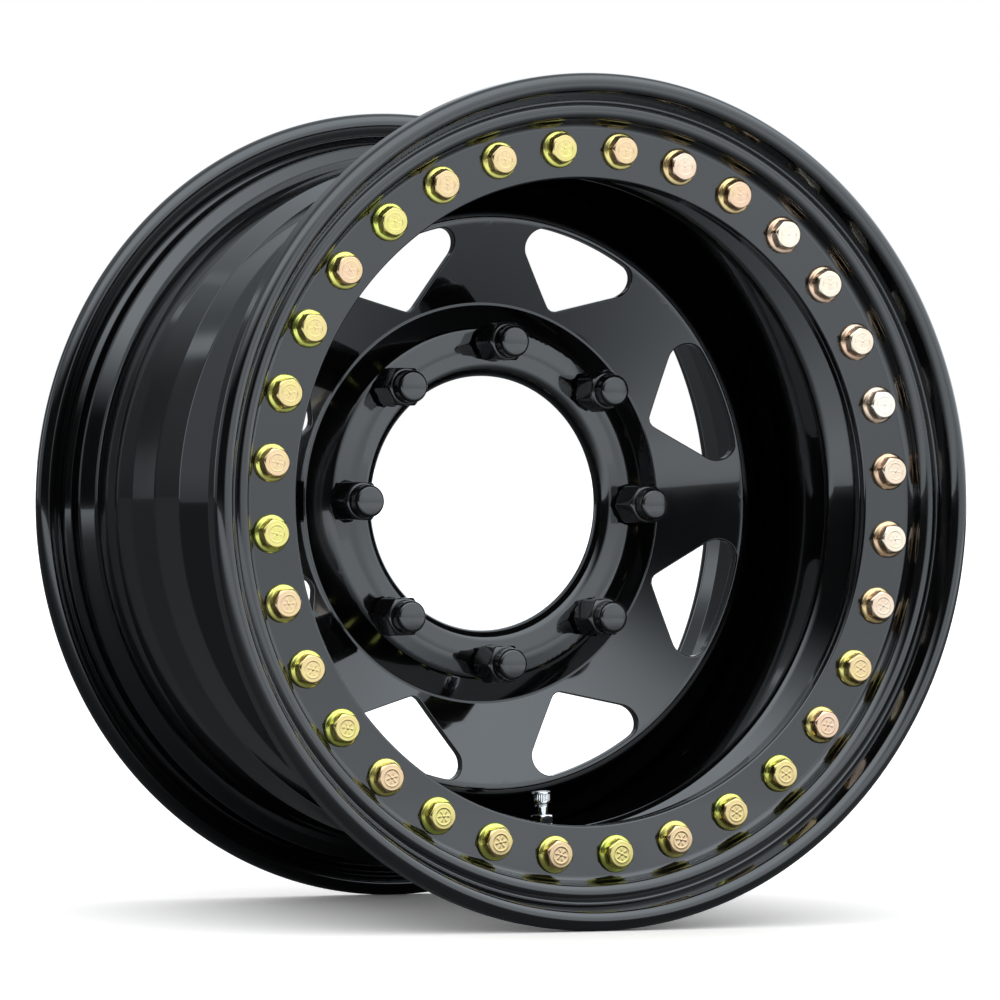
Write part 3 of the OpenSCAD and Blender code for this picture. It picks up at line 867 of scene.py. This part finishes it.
    def build(self) -> None:
        """Joins the plain turned stretches and the punched bands into one sheet."""
        loop = Profile.through(sheet_loop(self.corners(), self.wall, self.edge), closed=True)
        closed = Profile(np.vstack([loop.points, loop.points[:1]]), np.vstack([loop.normals, loop.normals[:1]]))
        split = int(np.argmax(closed.points[:, 1]))
        front = Profile(closed.points[:split], closed.normals[:split])
        rear = Profile(closed.points[split:][::-1], closed.normals[split:][::-1])
        window_at, span = math.radians(self.window_angle), FULL_TURN / self.holes
        step = span / self.arc_steps
        first = window_at - span / 2
        angles = even_angles(self.holes * self.arc_steps, first)
        parts: list[Surface] = []
        cuts = [closed.crossings(radius) for radius in (*self.lug_band, *self.window_band)]
        total = closed.lengths()[-1]
        plain = [(cuts[1][0], cuts[2][0]), (cuts[3][0], cuts[3][1]), (cuts[2][1], cuts[1][1]), (cuts[0][1], total),
                 (0.0, cuts[0][0])]
        for low, high in plain:
            parts.append(revolved(closed.part(low, high), angles, closed=False))

        lug_start = round((-span / 2 - first) / step) * step + first
        lug_edge = self.sector_edge(self.lug_band, lug_start)
        lug_way = np.arctan2(lug_edge[:, 1], lug_edge[:, 0] - self.lug_r)
        window_edge = self.sector_edge(self.window_band, -span / 2)
        middle = self.window_middle()
        window_way = np.arctan2(window_edge[:, 1] - middle[1], window_edge[:, 0] - middle[0])
        lug_points, lug_normals, lug_rim = self.lug_wall(front, rear, lug_way)
        lug_hole = np.array([self.lug_r, 0]) + self.lug_hole_r * np.stack([np.cos(lug_way), np.sin(lug_way)], -1)
        window_rim = self.window_rim(window_way, self.window_edge)
        patches = [
            (self.web(front, lug_rim, lug_edge), 0.0),
            (self.web(rear, lug_hole, lug_edge), 0.0),
            ((lug_points[:2], lug_normals[:2]), 0.0),
            ((lug_points[2:], lug_normals[2:]), 0.0),
            (self.web(front, window_rim, window_edge), window_at),
            (self.web(rear, window_rim, window_edge), window_at),
            (self.window_wall(front, rear, window_way), window_at),
        ]
        for (points, normals), angle in patches:
            for hole in range(self.holes):
                whole = (self.round_wheel(plan, angle + hole * span) for plan in (points, normals))
                parts.append(Surface.grid(*whole, False, True))
        surface = Surface.joined(parts).welded()
        settle(surface.piece("pressed_centre", BLACK), Body.WHEEL, Slot.BLACK, "wheel_centre")


@dataclass
class BeadlockBolts:
    """The flanged hexagon bolts that hold the clamp ring."""

    count: int = 32
    circle_r: float = 177.0
    face: float = -116.4
    grip: float = 9.4
    shank_r: float = 4.7
    length: float = 25.4
    pitch: float = 1.5875
    thread_depth: float = 0.75
    flange_r: float = 9.5
    flange_h: float = 1.5
    cone_top: float = 2.3
    cone_r: float = 7.3
    head_h: float = 7.4
    flats: float = 13.7
    top_r: float = 6.35
    dish: float = 0.2
    cone_share: float = 0.92
    columns: int = 42

    def head(self, angle: Array, turn: float) -> Rows:
        """Rows of one head: a raised ring and six raised marks on the top, hexagon, cone and flange.

        A row's radius is the lesser of the hexagon and a chamfer cone, or the greater of the hexagon and the
        flange's cone.

        Args:
            angle: Angles about the bolt, in radians.
            turn: Angle of the hexagon's first corner.

        Returns:
            The rows, from the middle of the top to the seat.
        """
        wrench = wrench_radius(angle - turn, self.flats)
        marks = np.cos(3 * (angle - turn)) ** 10
        top, dish = self.head_h, self.dish
        slope = self.cone_share * (self.flange_r - self.cone_r) / (self.cone_top - self.flange_h)
        middle = ((0.0, 0.02), (0.6, 0.0), (0.85, -dish))
        ticks = ((1.2, 0.3), (1.5, 1.0), (2.9, 1.0), (3.3, 0.0))
        ring = ((3.9, -dish), (4.1, 0.0), (4.5, 0.0), (4.7, -dish), (6.0, -0.8 * dish))
        rows = [(radius, top + height) for radius, height in middle]
        rows += [(radius, top - dish + dish * share * marks) for radius, share in ticks]
        rows += [(radius, top + height) for radius, height in ring]
        rows += [(soft_min(wrench, self.top_r + (drop - dish) * 1.5), top - drop)
                 for drop in (dish, 0.35, 0.6, 0.95, 1.4, 2.0)]
        rows += [(soft_max(wrench, self.cone_r + max(0.0, self.cone_top - height) * slope), height)
                 for height in (3.4, 2.8, 2.45, 2.25, 2.05, 1.85, 1.65)]
        return rows + [(self.flange_r, 1.2), (self.flange_r, 0.35), (self.flange_r - 0.35, 0.0)]

    def thread(self, angle: Array) -> Rows:
        """Rows of the threaded end: the radius falls by a triangle wave that climbs one pitch a turn."""
        rows: Rows = [(self.shank_r, 0.0), (self.shank_r, -self.grip)]
        for height in np.linspace(-self.grip - 0.3, -self.length, int((self.length - self.grip) / self.pitch * 3)):
            phase = (height / self.pitch - angle / FULL_TURN) % 1
            point = 0.8 * max(0.0, 1 - (self.length + height) / 1.5)
            rows.append((self.shank_r - self.thread_depth * np.abs(2 * phase - 1) - point, height))
        return rows + [(0.0, -self.length)]

    def build(self) -> None:
        """Sets a bolt in each hole, with its head at its own angle, and its plating at a tone of its own plus painted
        light that makes the bolts on the right of the wheel paler, most at the upper right; the tone also rises from
        each bolt's foot to its top.
        """
        parts, tones_and_painted_light = [], []
        for index in range(self.count):
            turn = math.radians((index * 37 + index * index * 11) % 60)
            angle = turn + np.arange(self.columns) * FULL_TURN / self.columns
            bolt = stacked(self.head(angle, turn) + self.thread(angle), angle, False)
            round_wheel = (index + 0.5) * 360 / self.count
            parts.append(bolt.placed(*on_face(round_wheel, self.face, self.circle_r)))
            own = 0.5 + 0.5 * math.sin(index * 2.4)
            # Painted light: bolts on the right-hand side of the wheel get a paler plating tone, most at the upper
            # right.
            painted_side_light = max(0.0, math.sin(math.radians(round_wheel + 25))) ** 2
            foot = 0.02 + 0.1 * own + 0.45 * painted_side_light
            top = 0.18 + 0.22 * own + 0.42 * painted_side_light
            rise = np.clip((bolt.points[:, 2] - self.cone_top) / 3, 0, 1)
            tones_and_painted_light.append(foot + (top - foot) * rise)
        piece = Surface.joined(parts).piece("flange_bolts", ZINC, {"film_tone_and_painted_light": np.concatenate(tones_and_painted_light)})
        settle(piece, Body.WHEEL, Slot.ZINC, "beadlock_bolts")


@dataclass
class LugNuts:
    """Closed lug nuts with a cone seat, a hexagon and a round tip."""

    count: int = 8
    circle_r: float = 82.55
    seat_floor: float = -10.85
    nose_r: float = 7.64
    nose: float = 0.5
    cone_r: float = 10.2
    cone_end: float = 4.94
    flats: float = 19.05
    hex_h: float = 16.7
    tip_r: float = 8.25
    tip_h: float = 9.0
    thread_r: float = 6.1
    thread_end: float = 21.5
    tip_edge: float = 2.2
    tip_dome: float = 1.0
    dome_lean: float = 10.0
    turns: tuple[float, ...] = (0, 11, 30, 20, 4, 47, 28, 15)
    columns: int = 144

    def shape(self, turn: float) -> Surface:
        """One nut, in rows from the middle of its domed tip down to the thread's end.

        Args:
            turn: Angle of the hexagon's first corner, in radians.

        Returns:
            The closed surface.
        """
        angle = turn + np.arange(self.columns) * FULL_TURN / self.columns
        wrench = wrench_radius(angle - turn, self.flats)
        base, top = self.cone_end, self.cone_end + self.hex_h
        end, tip, edge = top + self.tip_h - self.tip_dome, self.tip_r, self.tip_edge
        lean = math.radians(self.dome_lean)
        rim = tip - edge + edge * math.sin(lean)
        crown = rim * math.tan(lean) / 2
        rows = [(rim * share, end + crown * (1 - share**2) - 0.03) for share in (0.0, 0.25, 0.5, 0.75)]
        rows += [(tip - edge + edge * math.sin(a), end - edge + edge * math.cos(a))
                 for a in np.radians(np.linspace(self.dome_lean, 90, 9))]
        rows += [(tip, top + 1.2), (tip, top + 0.5), (tip + 0.12, top + 0.15), (tip + 0.4, top)]
        rows += [(soft_min(wrench, tip + 0.75 + drop * 1.35), top - drop)
                 for drop in (0.06, 0.3, 0.6, 0.9, 1.2, 1.6, 2.0, 2.5, 3.1)]
        rows += [(soft_min(wrench, self.cone_r + rise * 1.4), base + rise)
                 for rise in (2.0, 1.4, 1.0, 0.7, 0.4, 0.15, 0.0)]
        rows += [(self.cone_r + (self.nose_r - self.cone_r) * share, base + (self.nose - base) * share)
                 for share in (0.08, 0.5, 0.92, 1.0)]
        rows += [(self.nose_r - 0.4, self.nose), (self.thread_r + 0.3, self.nose),
                 (self.thread_r, self.nose + 0.4), (self.thread_r, self.thread_end), (0.0, self.thread_end + 1.5)]
        return stacked(rows, angle, False)

    def build(self) -> None:
        """Seats a nut in each lug hole, each its own piece."""
        for index in range(self.count):
            nut = self.shape(math.radians(self.turns[index]))
            place = on_face(index * 360 / self.count, self.seat_floor, self.circle_r)
            piece = nut.placed(*place).piece(f"closed_nut_{index + 1}", NUT_BLACK)
            settle(piece, Body.WHEEL, Slot.NUT, f"lug_nut_{index + 1}")


@dataclass
class Valve:
    """The clamp-in valve at the bottom of the drop well. Its heights run from the well's inner face."""

    angle: float = 177.3
    station: float = -57.39
    well_inner_r: float = 165.4
    stem_r: float = 3.85
    head_r: float = 7.5
    head_low: float = -8.1
    tip: float = 17.1
    core_bore: float = 2.66
    lower_bore: float = 1.9
    bore_step: float = 9.5
    spring_floor: float = 1.9
    vent_r: float = 1.1
    thread_low: float = 11.0
    thread_pitch: float = 0.8
    thread_depth: float = 0.25
    washer_r: float = 7.0
    washer_low: float = 0.2
    nut_low: float = 1.25
    nut_top: float = 6.65
    nut_flats: float = 11.0
    cap_r: float = 4.9
    cap_bore: float = 3.95
    cap_low: float = 12.5
    cap_roof: float = 17.8
    cap_top: float = 18.8
    cap_dome: float = 0.3
    cap_edge: float = 1.0
    flutes: int = 30
    flute_depth: float = 0.22
    kept: dict[str, Finish] = field(default_factory=lambda: {
        "valve_grommet": RUBBER,
        "core_body": BRASS,
        "core_seal": PLASTIC,
        "core_pin": BRASS,
        "pin_seal": RUBBER,
        "core_spring": WIRE,
        "cap_seal": RUBBER,
    })

    def place(self) -> tuple[Array, Array]:
        """The turn and shift that stand a piece on the well, with its own z towards the axle."""
        spin = about_axle(self.angle - 180)
        return spin, spin @ np.array([0, self.station, -self.well_inner_r])

    def stem(self) -> Surface:
        """The stem: a head, a plain length, a thread under the cap, and the stepped bore of the core."""
        angle = even_angles(48)
        r, low, tip, bore = self.stem_r, self.head_low, self.tip, self.core_bore
        rows: Rows = [
            (self.vent_r, low), (self.head_r - 0.3, low), (self.head_r, low + 0.3), (self.head_r, low + 1.7),
            (self.head_r - 0.3, low + 2.0), (r + 0.2, low + 2.0), (r, low + 2.2), (r, self.thread_low - 0.4),
            (r - 0.2, self.thread_low - 0.2)]
        for height in np.arange(self.thread_low, tip - 0.5, self.thread_pitch / 4):
            phase = (height / self.thread_pitch - angle / FULL_TURN) % 1
            rows.append((r - self.thread_depth * np.abs(2 * phase - 1), height))
        rows += [(r - 0.25, tip - 0.25), (r - 0.45, tip - 0.05), (r - 0.6, tip), (bore + 0.2, tip), (bore, tip - 0.2),
                 (bore, self.bore_step + 0.9), (self.lower_bore, self.bore_step), (self.lower_bore, self.spring_floor),
                 (self.vent_r, self.spring_floor)]
        return stacked(rows, angle, True)

    def washer(self) -> Surface:
        """The flat washer, with its edges rounded."""
        low, r, bore = self.washer_low, self.washer_r, self.stem_r + 0.05
        rows = [(bore, low + 0.1), (bore + 0.1, low), (r - 0.25, low), (r - 0.07, low + 0.07), (r, low + 0.25),
                (r, low + 0.75), (r - 0.07, low + 0.93), (r - 0.25, low + 1.0), (bore + 0.1, low + 1.0),
                (bore, low + 0.9)]
        return stacked(rows, even_angles(72), True)

    def nut(self) -> Surface:
        """The hexagon nut: each row's radius is the lesser of the hexagon and a chamfer cone."""
        angle = even_angles(96)
        wrench = wrench_radius(angle, self.nut_flats)
        low, top, half, bore = self.nut_low, self.nut_top, self.nut_flats / 2, self.stem_r + 0.06
        inner, outer = soft_min(wrench, half + 0.25), soft_min(wrench, half + 0.9)
        rows = [(bore, low + 0.25), (bore + 0.25, low), (half - 0.1, low), (inner, low + 0.12), (outer, low + 0.5),
                (wrench, low + 1.0), (wrench, top - 1.0), (outer, top - 0.5), (inner, top - 0.12), (half - 0.1, top),
                (bore + 0.25, top), (bore, top - 0.25)]
        return stacked(rows, angle, True)

    def cap(self) -> Surface:
        """The cap: a low dome, a rounded edge, a fluted side over a plain collar, and the hollow inside."""
        angle = even_angles(self.flutes * 6)
        groove = self.flute_depth * (0.5 - 0.5 * np.cos(angle * self.flutes)) ** 1.5
        r, top, low, edge = self.cap_r, self.cap_top - self.cap_dome, self.cap_low, self.cap_edge
        rows = [(share * (r - edge), top + self.cap_dome * (1 - share**2)) for share in (0.0, 0.4, 0.8)]
        rows += [(r - edge + edge * math.sin(a), top - edge + edge * math.cos(a))
                 for a in np.radians(np.linspace(12, 90, 7))]
        rows += [(r, top - 1.2), (r - groove, top - 1.5), (r - groove, low + 1.5), (r, low + 1.2)]
        rows += [(r, low + 0.25), (r - 0.07, low + 0.07), (r - 0.25, low), (self.cap_bore + 0.25, low),
                 (self.cap_bore, low + 0.25), (self.cap_bore, self.cap_roof), (0.0, self.cap_roof)]
        return stacked(rows, angle, False)

    def build(self, nodes: dict[str, bpy.types.Object]) -> None:
        """Makes the chrome pieces, and gives each of the valve's other CAD nodes its finish.

        Args:
            nodes: The frame's nodes by name.
        """
        for name, surface, body, node in (
            ("chrome_stem", self.stem(), Body.WHEEL, "valve_stem"),
            ("chrome_washer", self.washer(), Body.WHEEL, "valve_washer"),
            ("chrome_nut", self.nut(), Body.WHEEL, "valve_nut"),
            ("chrome_cap", self.cap(), Body.CAP, "valve_cap"),
        ):
            settle(surface.placed(*self.place()).piece(name, CHROME), body, Slot.CHROME, node)
        for name, finish in self.kept.items():
            thing = nodes[name]
            thing.data.materials.clear()
            thing.data.materials.append(finish.material())
            log.info("%s keeps its CAD shape", name)


@dataclass
class Studio:
    """Camera, floor and light."""

    centre: tuple[float, float, float] = (-1.6426, -3.1069, -0.0319)
    right: tuple[float, float, float] = (0.88250367, -0.47026287, 0.0063333)
    down: tuple[float, float, float] = (0.01007932, 0.00544833, -0.99993436)
    lens: float = 245.381
    sensor: float = 36.0
    walls: tuple[tuple[float, float], ...] = (
        (-180, 0.30), (-170, 0.15), (-167.5, 0.15), (-166.5, 0.60), (-164.5, 0.60), (-163.5, 0.10), (-141, 0.08),
        (-138.5, 1.20), (-131, 1.20), (-126, 0.50), (-92, 0.50), (-90, 0.03), (-13, 0.03), (0, 1.20), (12, 1.60),
        (50, 1.60), (80, 1.25), (150, 1.25), (158, 0.40), (180, 0.30))
    overhead: float = 2.4
    overhead_behind: float = 0.5
    horizon_dip: float = 0.28
    tint: tuple[float, float, float] = (0.85, 0.93, 1.0)
    dip_rate: float = 9.0
    floor_seen: float = 1.5
    floor_matt: float = 0.6
    floor_far: float = 1.6
    # Painted shade: the floor's level in reflections, by station, falls from in front of the wheel to behind it.
    floor_painted_shade: tuple[tuple[float, float], ...] = ((-1.5, 1.0), (-0.8, 0.75), (-0.3, 0.17), (0.1, 0.06))
    floor_size: float = 12.0
    strongest: float = 2.0

    def camera(self) -> None:
        """Places the camera where the photograph was taken from."""
        right, down = Vector(self.right).normalized(), Vector(self.down).normalized()
        forward = right.cross(down).normalized()
        turn = Matrix((right, -down, -forward)).transposed().to_4x4()
        data = bpy.data.cameras.new("camera")
        data.lens, data.sensor_width = self.lens, self.sensor
        data.clip_start, data.clip_end = 0.1, 100
        thing = bpy.data.objects.new("camera", data)
        thing.matrix_world = Matrix.Translation(self.centre) @ turn
        bpy.context.scene.collection.objects.link(thing)
        bpy.context.scene.camera = thing

    def floor(self) -> None:
        """A pale floor that touches the front lip and the rear lip, with painted shade in reflections: seen by glossy
        rays it darkens from the front of the wheel to behind it.
        """
        front, rear = Vector((0, -0.1302, -0.214)), Vector((0, 0.0956, -0.2062))
        slope = (rear.z - front.z) / (rear.y - front.y)
        corners = [(x * self.floor_size, y * self.floor_size, front.z + (y * self.floor_size - front.y) * slope)
                   for x, y in ((-1, -1), (1, -1), (1, 1), (-1, 1))]
        mesh = bpy.data.meshes.new("floor")
        mesh.from_pydata(corners, [], [(0, 1, 2, 3)])
        material = bpy.data.materials.new("pale_floor")
        material.use_nodes = True
        nodes, graph = material.node_tree.nodes, Graph(material.node_tree)
        nodes.remove(nodes["Principled BSDF"])
        # Painted shade for glossy rays: the floor darkens by station towards and behind the wheel.
        station = graph.add("SeparateXYZ", {0: graph.place()}).outputs["Y"]
        first, last = self.floor_painted_shade[0][0], self.floor_painted_shade[-1][0]
        stops = [((spot - first) / (last - first), (level,) * 3) for spot, level in self.floor_painted_shade]
        painted_shade = graph.ramp(graph.spread(station, first, last, 0.0, 1.0), stops)
        path = graph.add("LightPath").outputs
        mirrored = graph.spread(painted_shade, 0.0, 1.0, 0.0, self.floor_far)
        level = graph.spread(path["Is Glossy Ray"], 0.0, 1.0, self.floor_matt, mirrored)
        cool = graph.add("VectorMath", {0: self.tint, "Scale": level}, operation="SCALE").outputs["Vector"]
        colour = graph.mix(path["Is Camera Ray"], cool, (self.floor_seen, self.floor_seen, self.floor_seen, 1))
        matt = graph.add("BsdfDiffuse", {"Color": colour})
        graph.feed(nodes["Material Output"].inputs["Surface"], matt.outputs["BSDF"])
        mesh.materials.append(material)
        thing = bpy.data.objects.new("floor", mesh)
        bpy.context.scene.collection.objects.link(thing)

    def light(self) -> None:
        """A pale room with one dark side: its brightness depends on the direction alone."""
        world = bpy.data.worlds.new("room")
        bpy.context.scene.world = world
        world.use_nodes = True
        graph = Graph(world.node_tree)
        way = graph.add("SeparateXYZ", {0: graph.place("Generated")}).outputs
        turn = graph.math("ARCTAN2", way["X"], graph.math("MULTIPLY", way["Y"], -1.0))
        stops = [(degrees / 360 + 0.5, (level / self.strongest,) * 3) for degrees, level in self.walls]
        walls = graph.ramp(graph.math("MULTIPLY_ADD", turn, 1 / FULL_TURN, 0.5), stops)
        far = graph.math("MINIMUM", graph.math("MULTIPLY", graph.math("ABSOLUTE", way["Z"]), self.dip_rate), 1.0)
        low, rise = self.strongest * (1 - self.horizon_dip), self.strongest * self.horizon_dip
        wall = graph.math("MULTIPLY", walls, graph.math("MULTIPLY_ADD", far, rise, low))
        high = graph.spread(way["Z"], 0.32, 0.72, 0.0, 1.0, "SMOOTHSTEP")
        above = graph.spread(way["Y"], 0.3, -0.3, self.overhead_behind, self.overhead, "SMOOTHSTEP")
        room = graph.math("MULTIPLY_ADD", high, graph.math("SUBTRACT", above, wall), wall)
        glossy = graph.add("LightPath").outputs["Is Glossy Ray"]
        background = world.node_tree.nodes["Background"]
        graph.feed(background.inputs["Color"], graph.mix(glossy, (1, 1, 1, 1), (*self.tint, 1)))
        shown = graph.math("MULTIPLY_ADD", glossy, graph.math("SUBTRACT", room, 1.0), 1.0)
        graph.feed(background.inputs["Strength"], shown)

    def build(self) -> None:
        """Sets the whole stage."""
        self.camera()
        self.floor()
        self.light()
        bpy.context.scene.view_settings.view_transform = "Standard"


def main() -> None:
    """Builds the stage and the pieces in order."""
    logging.basicConfig(level=logging.INFO, format="%(name)s: %(message)s")
    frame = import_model()
    Studio().build()
    Barrel().build()
    Rings().build()
    WheelCentre().build()
    BeadlockBolts().build()
    LugNuts().build()
    Valve().build(frame["nodes"])


if __name__ == "__main__":
    main()
